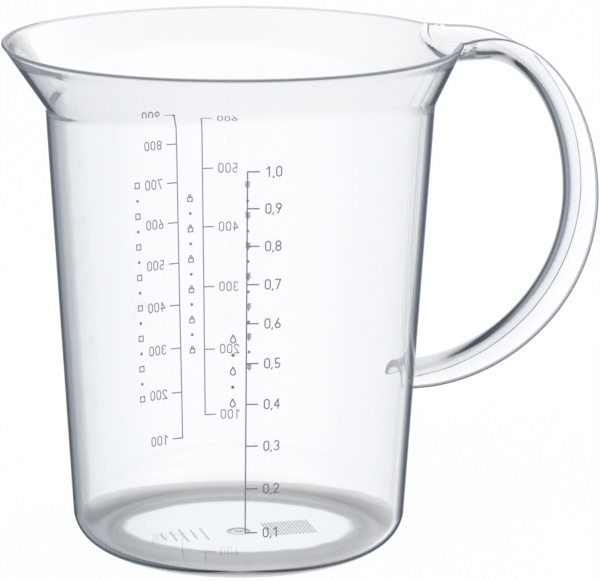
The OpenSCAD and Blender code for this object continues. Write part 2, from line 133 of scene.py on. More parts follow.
def bend_h(a):
    """Half the height of the bend below the flare, blended in the same way."""
    return BEND_SIDE_H + (BEND_END_H - BEND_SIDE_H) * end_share(a)


def flare_slope(a):
    """Extra radius for each unit of height that takes the flare to the rim's reach in direction a. The reach
    is the rim's radius, and more towards the spout by an exponential bell of the angle from it."""
    reach = RIM_R + SPOUT_REACH * np.exp(-((off_spout(a) / SPOUT_HALF_ANGLE) ** SPOUT_POWER))
    return (reach - cone_r(JUG_H)) / (JUG_H - flare_h(a))


def collar_r(a, z):
    """Outer radius at direction a and height z: the cone, plus a ramp that is a parabola across the bend."""
    x, half = z - flare_h(a), bend_h(a)
    ramp = np.where(x < -half, 0, np.where(x > half, x, (x + half) ** 2 / (4 * half)))
    return cone_r(z) + flare_slope(a) * ramp


def collar_tilt(a, z):
    """Lean of the wall from upright: the angle whose tangent is the slope of collar_r."""
    x, half = z - flare_h(a), bend_h(a)
    return np.arctan(TAPER + flare_slope(a) * np.clip((x + half) / (2 * half), 0, 1))


def ease(x):
    """0 to 1 as x goes from 0 to 1: a cubic with level ends."""
    x = np.clip(x, 0, 1)
    return x * x * (3 - 2 * x)


def blend(sizes, a, power=1):
    """A size given at the sides and at the ends, blended by the squared cosine of the direction."""
    return sizes[0] + (sizes[1] - sizes[0]) * end_share(a) ** power


def collar_core_r(a, z):
    """Inner radius of the collar at direction a and height z. Like the outside it is the cone plus a ramp
    with a parabola across its bend, but it leans a little less."""
    lean = np.arctan(TAPER + flare_slope(a)) - np.radians(blend(FLARE_WEDGE, a))
    x, half = z - flare_h(a) - blend(INNER_BEND_RISE, a), bend_h(a) * blend(INNER_BEND_SPREAD, a)
    ramp = np.where(x < -half, 0, np.where(x > half, x, (x + half) ** 2 / (4 * half)))
    return cone_r(z) - WALL / math.cos(DRAFT) + (np.tan(lean) - TAPER) * ramp


def collar_in_r(a, z):
    """collar_core_r, with the last few millimetres eased by the cubic to the wall's thickness at the lip."""
    core, thin = collar_core_r(a, z), collar_r(a, z) - blend(LIP_WALL, a, 2) / np.cos(collar_tilt(a, z))
    return core + (thin - core) * ease((z - JUG_H + LIP_RUN) / (LIP_RUN - LIP_ROUND))


AXIS_X = float(collar_r(math.pi, JUG_H - LIP_ROUND) - HANDLE_REACH) / 2


def mesh_piece(name, points, faces, kinds, finishes_and_shades):
    """A piece from points in jug-axis millimetres: moved to the frame, in metres, smooth below an angle.
    kinds is the number of each face's material, or one number for all."""
    mesh = bpy.data.meshes.new(name)
    placed = (np.asarray(points, float) + (AXIS_X, 0, 0)) * MM
    mesh.from_pydata(placed.tolist(), [], faces)
    for face_material in finishes_and_shades:
        mesh.materials.append(face_material)
    mesh.polygons.foreach_set("material_index", kinds + np.zeros(len(faces), np.int32))
    mesh.shade_smooth()
    mesh.set_sharp_from_angle(angle=SMOOTH_ANGLE)
    piece = bpy.data.objects.new(name, mesh)
    bpy.context.scene.collection.objects.link(piece)
    return piece


def grid_faces(rows, columns):
    """Quads over a grid whose columns close up. Point (row, column) has the number row * columns + column."""
    r = np.arange(rows - 1)[:, None]
    c = np.arange(columns)[None, :]
    r2, c2 = r + 1, (c + 1) % columns
    quads = np.stack(np.broadcast_arrays(
        r * columns + c, r * columns + c2, r2 * columns + c2, r2 * columns + c), -1)
    return quads.reshape(-1, 4).tolist()


def arc(centre, radius, start, end, steps):
    """Points (r, z) on a circle from one angle to another, in degrees."""
    t = np.radians(np.linspace(start, end, steps + 1))
    return np.stack([centre[0] + radius * np.cos(t), centre[1] + radius * np.sin(t)], -1)


def cup_heel(side_r, r, z0):
    """Quarter round between a flat end at z0 and a cone whose radius at the table is side_r."""
    centre = (side_r + TAPER * (z0 + r) - r / math.cos(DRAFT), z0 + r)
    return arc(centre, r, -90, -math.degrees(DRAFT), HEEL_ROWS)


def base_rows():
    """Radius and height of the rows under the base, from the middle out: a groove round the gate mark that
    is a squared sine across, the flat of the base, and the foot ring."""
    foot_r = BASE_R + TAPER * HEEL_R - HEEL_R / math.cos(DRAFT)
    foot_in_r = foot_r - FOOT_W
    slope_r = foot_in_r - FOOT_SLOPE
    gate = np.linspace(0, GATE_R, GATE_ROWS + 1)[1:]
    groove = FOOT_RECESS + GATE_DEPTH * np.sin(np.pi * gate / GATE_R) ** 2
    flat = [GATE_R + CRISP, *(foot_r * share for share in FLAT_SHARES), slope_r - CRISP, slope_r]
    foot = [foot_in_r, foot_in_r + CRISP, foot_r - CRISP]
    return np.array([*zip(gate, groove), *((r, FOOT_RECESS) for r in flat), *((r, 0) for r in foot)])


def wall_heights():
    """Heights of the rows up the plain wall of the barrel."""
    return np.linspace(HEEL_R + CLEAR_OF_HEEL, BARREL_H - CLEAR_OF_COLLAR, WALL_ROWS)


def collar_heights(a, foot):
    """Heights of the rows from the collar's foot to its lip in each direction, close together in the bend."""
    under_bend, over_bend = flare_h(a) - bend_h(a), flare_h(a) + bend_h(a)
    return np.concatenate([
        foot + (under_bend - foot) * np.linspace(0, 1, SKIRT_ROWS)[:, None],
        under_bend + (over_bend - under_bend) * np.linspace(0, 1, BEND_ROWS + 1)[1:, None],
        over_bend + (JUG_H - LIP_ROUND - over_bend) * np.linspace(0, 1, FLARE_ROWS + 1)[1:, None]])


def jug_shell():
    """The barrel and its flared collar as one closed skin. Rows run from the middle of the base out,
    up the outside, over the lip, down the inside and in over the floor. Each row is a ring whose radius
    and height are functions of the direction a."""
    columns = COLUMNS
    a = np.linspace(0, 2 * np.pi, columns, endpoint=False)
    z = wall_heights()
    outside = np.concatenate([
        base_rows(), cup_heel(BASE_R + INK_BED, HEEL_R, 0), np.stack([cone_r(z) + INK_BED, z], -1)])
    low = [np.broadcast_to(p[:, None], (2, columns)) for p in outside]

    heights = collar_heights(a, BARREL_H)
    outer = np.stack([collar_r(a, heights), heights], 1)
    heights = collar_heights(a, BARREL_H - WALL * math.sin(DRAFT))
    inner = np.stack([collar_in_r(a, heights), heights], 1)

    t = np.radians(np.linspace(0, 90, LIP_ROWS + 1))[1:, None]
    (out_r, out_z), (in_r, in_z) = outer[-1], inner[-1]
    lip_out = np.stack([out_r - LIP_ROUND * (1 - np.cos(t)), out_z + LIP_ROUND * np.sin(t)], 1)
    lip_in = np.stack([in_r + LIP_ROUND * (1 - np.cos(t)), in_z + LIP_ROUND * np.sin(t)], 1)[::-1]

    z = wall_heights()[::-1]
    inside = np.stack([cone_r(z) - WALL / math.cos(DRAFT), z], -1)
    heel_in = cup_heel(BASE_R - WALL / math.cos(DRAFT), HEEL_R - WALL, FLOOR_TOP)[::-1]
    floor = np.array([(heel_in[-1, 0] * share, FLOOR_TOP) for share in FLOOR_SHARES])
    high = [np.broadcast_to(p[:, None], (2, columns)) for p in np.concatenate([inside, heel_in, floor])]

    rows = np.stack([*low, *outer, *lip_out, *lip_in, *inner[::-1], *high])
    points = np.stack([rows[:, 0] * np.cos(a), rows[:, 0] * np.sin(a), rows[:, 1]], -1).reshape(-1, 3)
    count = len(rows)
    points = np.concatenate([points, [(0, 0, FOOT_RECESS), (0, 0, FLOOR_TOP)]])
    faces = grid_faces(count, columns)
    c = np.arange(columns)
    last = (count - 1) * columns
    faces += np.stack([c * 0 + count * columns, (c + 1) % columns, c], -1).tolist()
    faces += np.stack([c * 0 + count * columns + 1, last + c, last + (c + 1) % columns], -1).tolist()
    lip = len(low) + len(outer) - 1
    kinds = np.full(len(faces), WALLS, np.int32)
    kinds[lip * columns:(lip + len(lip_out) + len(lip_in) + 1) * columns] = LIP
    # The middle and the outer slope of the gate mark
    third = GATE_ROWS // 3 * columns
    kinds[:third] = kinds[2 * third:3 * third] = MARKS
    return points, faces, kinds


def root_half_w(x):
    """Half the channel's outer width: the grip's half width, a broad bell curve and, right at the rim, a
    short exponential that rounds the corner."""
    out = np.maximum(x - ROOT_X, 0)
    return (HANDLE_W / 2 + ROOT_FLARE_W * np.exp(-((out / ROOT_FLARE_L) ** 2))
            + ROOT_FILLET_W * np.exp(-out / ROOT_FILLET_L))


def arch(half_w, depth, grow):
    """One side of the channel's section as (across, inwards): half an ellipse whose ends turn by a small
    quarter round onto the flat edge. A positive grow is the outside, a negative one the inside."""
    c = EDGE_ROUND
    t = np.linspace(0, np.pi, ARCH_STEPS + 1)
    side = half_w * np.cos(t), np.maximum(depth * np.sin(t), c)
    turn = np.linspace(0, np.pi / 2, ROUND_STEPS + 1)[:-1]
    corner = half_w - grow * c * (1 - np.sin(turn)), c * (1 - np.cos(turn))
    return (np.concatenate([corner[0], side[0], -corner[0][::-1]]),
            np.concatenate([corner[1], side[1], corner[1][::-1]]))


def channel_ring(edge, crest, half_w):
    """Section loop between an edge point and a crest point of the handle's middle plane."""
    edge, crest = np.asarray(edge, float), np.asarray(crest, float)
    depth = float(np.linalg.norm(crest - edge))
    way = (crest - edge) / depth
    out = arch(half_w, depth, 1)
    back = arch(half_w - CHANNEL_WALL, depth - CHANNEL_WALL, -1)
    across = np.concatenate([out[0], back[0][::-1]])
    inwards = np.concatenate([out[1], back[1][::-1]])
    return np.stack([edge[0] + way[0] * inwards, across, edge[1] + way[1] * inwards], -1)


def quarter(centre_x, reach, rise, t):
    """Point of a quarter ellipse about (centre_x, widest height): reach along x, rise up or down."""
    return centre_x + (reach - centre_x) * math.cos(t), HANDLE_MID_H + rise * math.sin(t)


def channel_rings():
    """The handle's sections: straight out of the rim, an upper and a lower quarter ellipse for the edges and
    for the crest, and an end ring in the middle of the wall at either end."""
    root = channel_ring((0, JUG_H), (0, JUG_H - CHANNEL_TOP_D), float(root_half_w(ROOT_X)))
    r = collar_r(0, root[:, 2]) - LIP_WALL[1] / 2
    root[:, 0] = np.sqrt(r ** 2 - root[:, 1] ** 2)
    rings = [root]
    for s in np.linspace(0, 1, ROOT_RINGS + 1)[1:]:
        x, crest_x = ROOT_X + (TOP_BEND_X - ROOT_X) * s, ROOT_X + (GRIP_BEND_X - ROOT_X) * s
        rings.append(channel_ring((x, JUG_H), (crest_x, JUG_H - CHANNEL_TOP_D), float(root_half_w(x))))
    grip_reach = HANDLE_REACH - CHANNEL_MID_D
    rise, drop = JUG_H - HANDLE_MID_H, HANDLE_MID_H - HANDLE_LOW_H
    for t in np.radians(np.linspace(90, 0, UPPER_RINGS + 1)[1:]):
        edge = quarter(TOP_BEND_X, HANDLE_REACH, rise, t)
        rings.append(channel_ring(
            edge, quarter(GRIP_BEND_X, grip_reach, rise - CHANNEL_TOP_D, t), float(root_half_w(edge[0]))))
    for t in np.radians(np.linspace(0, LOW_TURN, LOWER_RINGS + 1)[1:]):
        rings.append(channel_ring(
            quarter(LOW_BEND_X, HANDLE_REACH, -drop, t),
            quarter(LOW_BEND_X, grip_reach, CHANNEL_LOW_D - drop, t), HANDLE_W / 2))
    low = channel_ring((0, HANDLE_LOW_H), (0, HANDLE_LOW_H + CHANNEL_LOW_D), HANDLE_W / 2)
    low[:, 0] = np.sqrt((cone_r(low[:, 2]) - WALL / 2) ** 2 - low[:, 1] ** 2)
    return np.stack(rings + [low])


def channel():
    """The handle as a closed skin: its rings joined in turn, and a strip of quads over each end."""
    rings = channel_rings()
    count, n = rings.shape[:2]
    half = np.arange(n // 2 - 1)
    strip = np.stack([half, half + 1, n - 2 - half, n - 1 - half], -1)
    faces = [f[::-1] for f in grid_faces(count, n)]
    faces += strip.tolist()
    faces += [f[::-1] for f in (strip + (count - 1) * n).tolist()]
    # The rounded edges lie at the start, the middle and the end of each ring
    edges = np.concatenate([
        np.arange(ROUND_STEPS), np.arange(n // 2 - ROUND_STEPS - 1, n // 2 + ROUND_STEPS),
        np.arange(n - ROUND_STEPS - 1, n)])
    kinds = np.full(len(faces), HANDLE, np.int32)
    kinds[(np.arange(count - 1)[:, None] * n + edges).ravel()] = HANDLE_EDGES
    return rings.reshape(-1, 3), faces, kinds


def trough_ring(x, across, down):
    """Loop round the trough's arch: quarter rounds at both top edges, the arch, and a lid clear above the
    rim."""
    x = x + np.zeros(len(across))
    turn = np.linspace(np.pi / 2, 0, ROUND_STEPS + 1)[:-1]
    start = np.stack([np.full(ROUND_STEPS, x[0]), across[0] + EDGE_ROUND * (1 - np.cos(turn)),
                      JUG_H - EDGE_ROUND * (1 - np.sin(turn))], -1)
    middle = np.stack([x, across, JUG_H - np.maximum(down, EDGE_ROUND)], -1)
    lid = start[[0, 0]] * ((1, -1, 1), (1, 1, 1)) + (0, 0, TROUGH_LID)
    return np.concatenate([start, middle, (start * (1, -1, 1))[::-1], lid])


def trough_in_handle(t):
    """The trough's rings along the straight of the handle, towards the rim. The arch keeps to the channel's
    own face and draws in by a square away from the rim."""
    rings = []
    for s in TROUGH_SHARES:
        x = ROOT_X + (TOP_BEND_X - ROOT_X) * s
        spare = TROUGH_SPARE - TROUGH_DRAW_IN * s ** 2
        lean = (GRIP_BEND_X - TOP_BEND_X) * s / CHANNEL_TOP_D
        depth = CHANNEL_TOP_D * math.hypot(1, lean) - CHANNEL_WALL + spare
        down = depth * np.sin(t) / math.hypot(1, lean)
        half_w = float(root_half_w(x)) - CHANNEL_WALL + spare
        rings.append(trough_ring(x + lean * down, half_w * np.cos(t), down))
    return rings


def trough_mouth(t):
    """The trough's rings at the rim. Each point of the arch turns outwards on a circular arc until it meets
    the collar's inner face nearly as a tangent, and then it runs straight on into the jug. Where it meets
    the face depends on how far it has turned, so the end of the turn is found in a few rounds."""
    depth = CHANNEL_TOP_D - CHANNEL_WALL + TROUGH_SPARE
    across, down = MOUTH_W * np.cos(t), depth * np.sin(t)
    way = np.stack([np.cos(t) / MOUTH_W, np.sin(t) / depth])
    way /= np.hypot(*way)
    side = np.cos(t) ** 2
    radius = MOUTH_DEEP_R + (MOUTH_SIDE_R - MOUTH_DEEP_R) * side
    begin = MOUTH_BEGIN * side
    end = np.full(len(t), MOUTH_END_GUESS)
    for _ in range(MOUTH_ROUNDS):
        grown = radius * (np.cos(begin) - np.cos(end))
        y, z = across + way[0] * grown, JUG_H - down - way[1] * grown
        meet_x = np.sqrt(collar_core_r(0, z) ** 2 - y ** 2)
        a, lean = np.arctan2(y, meet_x), collar_tilt(0, z)
        tangent = np.arctan2(
            np.cos(lean) * np.cos(a), np.cos(lean) * np.sin(a) * way[0] + np.sin(lean) * way[1])
        end = tangent - MOUTH_CROSSING
    rings = []
    for share in np.linspace(0, 1, MOUTH_RINGS):
        turn = begin + (end - begin) * share
        grown = radius * (np.cos(begin) - np.cos(turn))
        x = meet_x + radius * (np.sin(end) - np.sin(turn))
        rings.append(trough_ring(x, across + way[0] * grown, down + way[1] * grown))
    for further in MOUTH_RUN_ON:
        more = grown + further * np.sin(end)
        x = meet_x - further * np.cos(end)
        rings.append(trough_ring(x, across + way[0] * more, down + way[1] * more))
    return rings


def trough():
    """The space inside the channel where it runs through the rim, as one closed solid: rings joined in turn
    and a face over either end."""
    t = np.linspace(0, np.pi, TROUGH_STEPS + 1)
    rings = np.stack(trough_in_handle(t) + trough_mouth(t))
    count, n = rings.shape[:2]
    faces = grid_faces(count, n)
    faces += [list(range(n))[::-1], list(range((count - 1) * n, count * n))]
    return rings.reshape(-1, 3), faces, WALLS


def bars(boxes):
    """Closed boxes from rows of (x0, x1, y0, y1, z0, z1)."""
    corner = np.array([
        (0, 2, 4), (1, 2, 4), (1, 3, 4), (0, 3, 4), (0, 2, 5), (1, 2, 5), (1, 3, 5), (0, 3, 5)])
    sides = np.array([(3, 2, 1, 0), (4, 5, 6, 7), (0, 1, 5, 4), (1, 2, 6, 5), (2, 3, 7, 6), (3, 0, 4, 7)])
    boxes = np.asarray(boxes, float)
    points = boxes[:, corner].reshape(-1, 3)
    faces = (sides[None] + 8 * np.arange(len(boxes))[:, None, None]).reshape(-1, 4)
    return points, faces.tolist(), MARKS


def base_relief():
    """Plain bars and a patch of fine ribs under the floor, each a box that reaches into it."""
    z = FOOT_RECESS - RELIEF_H, FOOT_RECESS + RELIEF_H
    half = PATCH_D / 2
    boxes = []
    for i in range(int(PATCH_W / (2 * RELIEF_W))):
        x = PATCH_X - PATCH_W / 2 + i * 2 * RELIEF_W
        boxes.append((x, x + RELIEF_W, -half, half, *z))
    for i, share in enumerate(BAR_LENGTH_SHARES):
        x = BAR_X - i * BAR_PITCH
        boxes.append((x, x + RELIEF_W, -share * half, share * half, *z))
    return bars(boxes)


def moulding(*finishes_and_shades):
    """One skin for the whole moulding: shell, handle and relief joined, and the trough cut through the rim.
    The materials given are those of the walls, the lip, the handle, its edges and the marks; the greyer tints
    of the lip, the edges and the marks are painted shade."""
    body = mesh_piece("moulding", *jug_shell(), finishes_and_shades)
    others = []
    steps = (("channel", channel(), "UNION"), ("trough", trough(), "DIFFERENCE"),
             ("relief", base_relief(), "UNION"))
    for name, shape, operation in steps:
        other = mesh_piece(name, *shape, finishes_and_shades)
        cut = body.modifiers.new(name, "BOOLEAN")
        cut.object, cut.operation, cut.solver = other, operation, "EXACT"
        others.append(other)
    graph = bpy.context.evaluated_depsgraph_get()
    joined = bpy.data.meshes.new_from_object(body.evaluated_get(graph))
    body.modifiers.clear()
    body.data = joined
    joined.name = "moulding"
    for other in others:
        bpy.data.objects.remove(other)
    joined.shade_smooth()
    joined.set_sharp_from_angle(angle=SMOOTH_ANGLE)
    return body


# Camera

def make_camera():
    """The photograph's view: from 1.09 m away and 13.5 degrees above the horizon, with the handle turned 15.5
    degrees away. The sizes were fitted to the photograph."""
    elevation, roll, turn = math.radians(13.541), math.radians(0.4547), math.radians(-15.5)
    distance, look_x, look_z = 1089.87, 18.045, 76.573
    focal_length, sensor_width, nearest, farthest = 218.81, 36, 0.05, 20
    e, r = (math.cos(elevation), math.sin(elevation)), (math.cos(roll), math.sin(roll))
    right, up, back = np.array([1, 0, 0]), np.array([0, e[1], e[0]]), np.array([0, -e[0], e[1]])
    axes = np.stack([r[0] * right + r[1] * up, -r[1] * right + r[0] * up, back], -1)
    turned = np.array([
        (math.cos(turn), -math.sin(turn), 0), (math.sin(turn), math.cos(turn), 0), (0, 0, 1)])
    place = turned @ (np.array([look_x, 0, look_z]) + distance * back) + (AXIS_X, 0, 0)
    matrix = Matrix.Identity(4)
    for i, row in enumerate(turned @ axes):
        matrix[i][:3] = row
        matrix[i][3] = place[i] * MM
    lens = bpy.data.cameras.new("camera")
    lens.lens, lens.sensor_width, lens.sensor_fit = focal_length, sensor_width, "AUTO"
    lens.clip_start, lens.clip_end = nearest, farthest
    camera = bpy.data.objects.new("camera", lens)
    bpy.context.scene.collection.objects.link(camera)
    camera.matrix_world = matrix
    bpy.context.scene.camera = camera


make_camera()


# Materials

def linear(hex_colour, alpha=1.0):
    """An sRGB hex colour as linear red, green, blue and alpha."""
    rgb = np.array([int(hex_colour[i:i + 2], 16) for i in (1, 3, 5)]) / 255
    rgb = np.where(rgb <= 0.04045, rgb / 12.92, ((rgb + 0.055) / 1.055) ** 2.4)
    return (*rgb.tolist(), alpha)


def add(tree, kind, settings=(), **links):
    """Adds a node. settings are pairs of a property or an input, and its value. links join an input, by its
    name or as i and its number, to an output."""
    node = tree.nodes.new(kind)
    for name, value in settings:
        if isinstance(name, str) and hasattr(node, name):
            setattr(node, name, value)
        else:
            node.inputs[name].default_value = value
    for name, output in links.items():
        key = int(name[1:]) if name[0] == "i" and name[1:].isdigit() else name.replace("_", " ")
        tree.links.new(output, node.inputs[key])
    return node


def material(name):
    """A new material with an empty node tree, and that tree."""
    made = bpy.data.materials.new(name)
    made.use_nodes = True
    made.node_tree.nodes.clear()
    return made, made.node_tree


# Real sizes that the patterns follow, in metres: a wave of the melt's flow across the handle and its height,
# a grain of the printed ink, and a ripple of the shade under the heel. The flow is drawn out upwards, where
# its waves are longer by 1 / FLOW_STRETCH.
FLOW_WAVE, FLOW_H, INK_GRAIN, SHADE_RIPPLE = 14.29 * MM, 0.2 * MM, 0.6667 * MM, 18.18 * MM
FLOW_STRETCH = 0.35
STYRENE_IOR = 1.57
# Light with more reflections than this has glanced off the plastic, or has run on inside its wall
GLANCED_AFTER, PIPED_AFTER = 0.5, 2.5


def moulded_styrene(name, tint, piped_glow_colour, wave=0.1, roughness=0.0):
    """Clear styrene copolymer, injection moulded in a polished tool: glassy gloss, a faint cool cast that
    gathers where the eye looks along the wall, and slow waves left by the flow of the melt, which are
    stronger in the narrow handle and make its inner lines run a little unevenly. Lamps shine through it.
    The rounded lip and the handle's edges get greyer copies of this material, whose tint is painted shade
    for the light that they catch and that runs off inside the wall, so that the eye sees them as thin grey
    lines. The marks under the base come from spark-eroded steel: they are a little matt and scatter light
    aside, and the greyer tint of their copy adds painted shade, so they look like grey patches."""
    made, tree = material(name)
    path = add(tree, "ShaderNodeLightPath")
    where = add(tree, "ShaderNodeTexCoord").outputs["Object"]
    drawn = add(tree, "ShaderNodeMapping", [("Scale", (1, 1, FLOW_STRETCH))], Vector=where)
    flow = add(tree, "ShaderNodeTexNoise", [("Scale", 1 / FLOW_WAVE), ("Detail", 1.0), ("Roughness", 0.4)],
               Vector=drawn.outputs[0])
    waves = add(tree, "ShaderNodeBump", [("Strength", wave), ("Distance", FLOW_H)], Height=flow.outputs[0])
    body = add(tree, "ShaderNodeBsdfPrincipled", [
        ("Base Color", linear(tint)), ("Roughness", roughness), ("IOR", STYRENE_IOR),
        ("Transmission Weight", 1.0)], Normal=waves.outputs[0])
    film = add(tree, "ShaderNodeBsdfTransparent", [("Color", linear("#F0F4F8"))])
    # Light that runs on inside the wall, as it does in the lip, ends after a few reflections in an even grey
    # glow: painted light that stands in for the light it would carry out elsewhere
    piped = add(tree, "ShaderNodeMath", [("operation", "GREATER_THAN"), (1, PIPED_AFTER)],
                i0=path.outputs["Glossy Depth"])
    glow = add(tree, "ShaderNodeEmission", [("Color", linear(piped_glow_colour)), ("Strength", 1.0)])
    ended = add(tree, "ShaderNodeMixShader", i0=piped.outputs[0], i1=body.outputs[0], i2=glow.outputs[0])
    mix = add(tree, "ShaderNodeMixShader",
              i0=path.outputs["Is Shadow Ray"], i1=ended.outputs[0], i2=film.outputs[0])
    add(tree, "ShaderNodeOutputMaterial", Surface=mix.outputs[0])
    return made


def printed_ink(name, thick, thin):
    """Screen ink printed on the finished jug: a matt dark grey film that is a little uneven where the mesh of
    the screen has left more or less of it, which softens its tone. thick and thin are the colours of the two.
    A real screen's mesh is finer than INK_GRAIN, which is about as fine as the render can show."""
    made, tree = material(name)
    where = add(tree, "ShaderNodeTexCoord").outputs["Object"]
    grain = add(tree, "ShaderNodeTexNoise", [("Scale", 1 / INK_GRAIN), ("Detail", 2.0)], Vector=where)
    tone = add(tree, "ShaderNodeMix", [("data_type", "RGBA"), (6, linear(thick)), (7, linear(thin))],
               i0=grain.outputs[0])
    ink = add(tree, "ShaderNodeBsdfPrincipled", [("Roughness", 0.55), ("IOR", 1.5)],
              Base_Color=tone.outputs[2])
    add(tree, "ShaderNodeOutputMaterial", Surface=ink.outputs[0])
    return made


# Pieces

CLEAR_NODES = ("barrel", "rim_collar", "handle", "base_relief_lines", "base_relief_patch")
FRONT_PRINT = ("litre",)

# The greyer tints of the lip, the handle's edges and the matt marks are painted shade
jug = moulding(moulded_styrene("moulded_clear_styrene", "#FDFEFF", "#9599A2"),
               moulded_styrene("moulded_clear_styrene_lip_painted_shade", "#D0D3D9", "#B4B8C0"),
               moulded_styrene("moulded_clear_styrene_handle", "#FDFEFF", "#9599A2", wave=0.6),
               moulded_styrene("moulded_clear_styrene_handle_edge_painted_shade", "#8F949E", "#8F949E"),
               moulded_styrene("moulded_clear_styrene_matt_painted_shade", "#A4AAB6", "#9599A2", roughness=0.25))
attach(jug, "root")
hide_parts(*CLEAR_NODES)

# The back print is read through the jug, and its ink is a lighter, cooler copy of the front's: painted light
# for the veil that the walls lay over it
front_ink = printed_ink("screen_printed_ink_front", "#666871", "#82848B")
back_ink_lightened = printed_ink("screen_printed_ink_back_lightened", "#868B99", "#A2A7B3")
for node_name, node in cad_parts.items():
    if node_name not in CLEAR_NODES:
        on_front = any(part in node_name for part in FRONT_PRINT)
        node.data.materials.clear()
        node.data.materials.append(front_ink if on_front else back_ink_lightened)


# Stage

# Light that has glanced off the plastic sees a ring of studio panels round the jug instead of the plain
# white. Each entry is a direction, in degrees leftwards of the way the photograph looks, and how bright the
# ring is there. The powers of red and blue make the darker panels cooler.
LOOK_AZIMUTH = 74.5
RING = ((-180, 1.0), (-130, 1.0), (-100, 0.95), (-80, 1.0), (-34, 1.0), (-31, 0.45), (-26, 0.28),
        (-23, 0.07), (-12, 0.07), (-9, 0.6), (-4, 0.85), (4, 0.85), (9, 0.6), (12, 0.06), (23, 0.06),
        (25, 0.28), (31, 0.33), (34, 0.44), (38, 0.32), (60, 0.36), (90, 0.45), (120, 0.85), (150, 1.0),
        (180, 1.0))
RING_RED_POWER, RING_BLUE_POWER = 1.12, 0.9
# Such light sees less of the panels where it leaves steeply: the upright part of its direction where that
# begins and ends, and the share of the brightness that is left
STEEP_FROM, STEEP_TO, STEEP_SHARE = 0.5, 0.95, 0.3

# The heel bends the lamps' light aside, so that the table under it is in shade, a little beyond the jug,
# wider than deep, and with an edge that wanders a little. The plastic shows that shade, and nothing else
# does. Each entry is a distance in millimetres along the way the photograph looks, and how bright the table
# is there.
HEEL_SHADE_BEYOND, HEEL_SHADE_WIDEN, HEEL_SHADE_REACH, HEEL_SHADE_WANDER = 6.5, 1.35, 60, 4
HEEL_SHADE = ((0, 1.0), (25, 1.0), (26.5, 0.35), (28.5, 0.22), (31, 0.31), (36, 0.33), (40, 0.42),
              (44, 0.62), (49.5, 0.8), (50.5, 1.0))

# The white table, in metres: half its side and how far it lies below the foot ring. It shows mostly its plain
# white, and for the rest the light and shadow that fall on it.
TABLE_HALF, TABLE_DROP, TABLE_GLOW_SHARE, TABLE_COLOUR = 6.0, 0.1 * MM, 0.96, "#FAFAFA"
# The sky beyond the table: white up to one upright part of the direction, and grey from another one on. The
# camera itself sees it white all over.
SKY_WHITE_TO, SKY_GREY_FROM, SKY_GREY = 0.1, 0.6, (0.35, 0.36, 0.38, 1)
WHITE = (1, 1, 1, 1)


def ramp_stops(ramp, entries, colour):
    """Fills a colour ramp from entries of a place, 0 to 1, and a level. colour turns a level into a
    colour."""
    stops = ramp.elements
    while len(stops) < len(entries):
        stops.new(0.5)
    for stop, entry in zip(stops, entries):
        stop.position = entry[0]
    for stop, entry in zip(stops, entries):
        stop.color = colour(entry[1])


def panel_ring(tree, way):
    """Colour of the ring in a direction: its azimuth from the arctangent, looked up in RING, and dimmed
    where the direction is steep."""
    turned = add(tree, "ShaderNodeVectorRotate", [
        ("rotation_type", "Z_AXIS"), ("Angle", math.radians(180 - LOOK_AZIMUTH))], Vector=way)
    split = add(tree, "ShaderNodeSeparateXYZ", i0=turned.outputs[0])
    flipped = add(tree, "ShaderNodeMath", [("operation", "MULTIPLY"), (1, -1.0)], i0=split.outputs["Y"])
    away = add(tree, "ShaderNodeMath", [("operation", "MULTIPLY"), (1, -1.0)], i0=split.outputs["X"])
    angle = add(tree, "ShaderNodeMath", [("operation", "ARCTAN2")], i0=flipped.outputs[0], i1=away.outputs[0])
    place = add(tree, "ShaderNodeMapRange", [("From Min", -math.pi), ("From Max", math.pi)],
                Value=angle.outputs[0])
    ring = add(tree, "ShaderNodeValToRGB", i0=place.outputs[0])
    ramp_stops(ring.color_ramp, [((degrees + 180) / 360, level) for degrees, level in RING],
               lambda level: (level ** RING_RED_POWER, level, level ** RING_BLUE_POWER, 1))
    upright = add(tree, "ShaderNodeMath", [("operation", "ABSOLUTE")], i0=split.outputs["Z"])
    steep = add(tree, "ShaderNodeMapRange", [
        ("From Min", STEEP_FROM), ("From Max", STEEP_TO), ("To Min", 1.0), ("To Max", STEEP_SHARE)],
        Value=upright.outputs[0])
    return add(tree, "ShaderNodeVectorMath", [("operation", "SCALE")], i0=ring.outputs[0],
               Scale=steep.outputs[0]).outputs[0]


def glanced_light(tree, path):
    """1 for light that has bounced off a face of the plastic at least once, else 0."""
    return add(tree, "ShaderNodeMath", [("operation", "GREATER_THAN"), (1, GLANCED_AFTER)],
               i0=path.outputs["Glossy Depth"]).outputs[0]


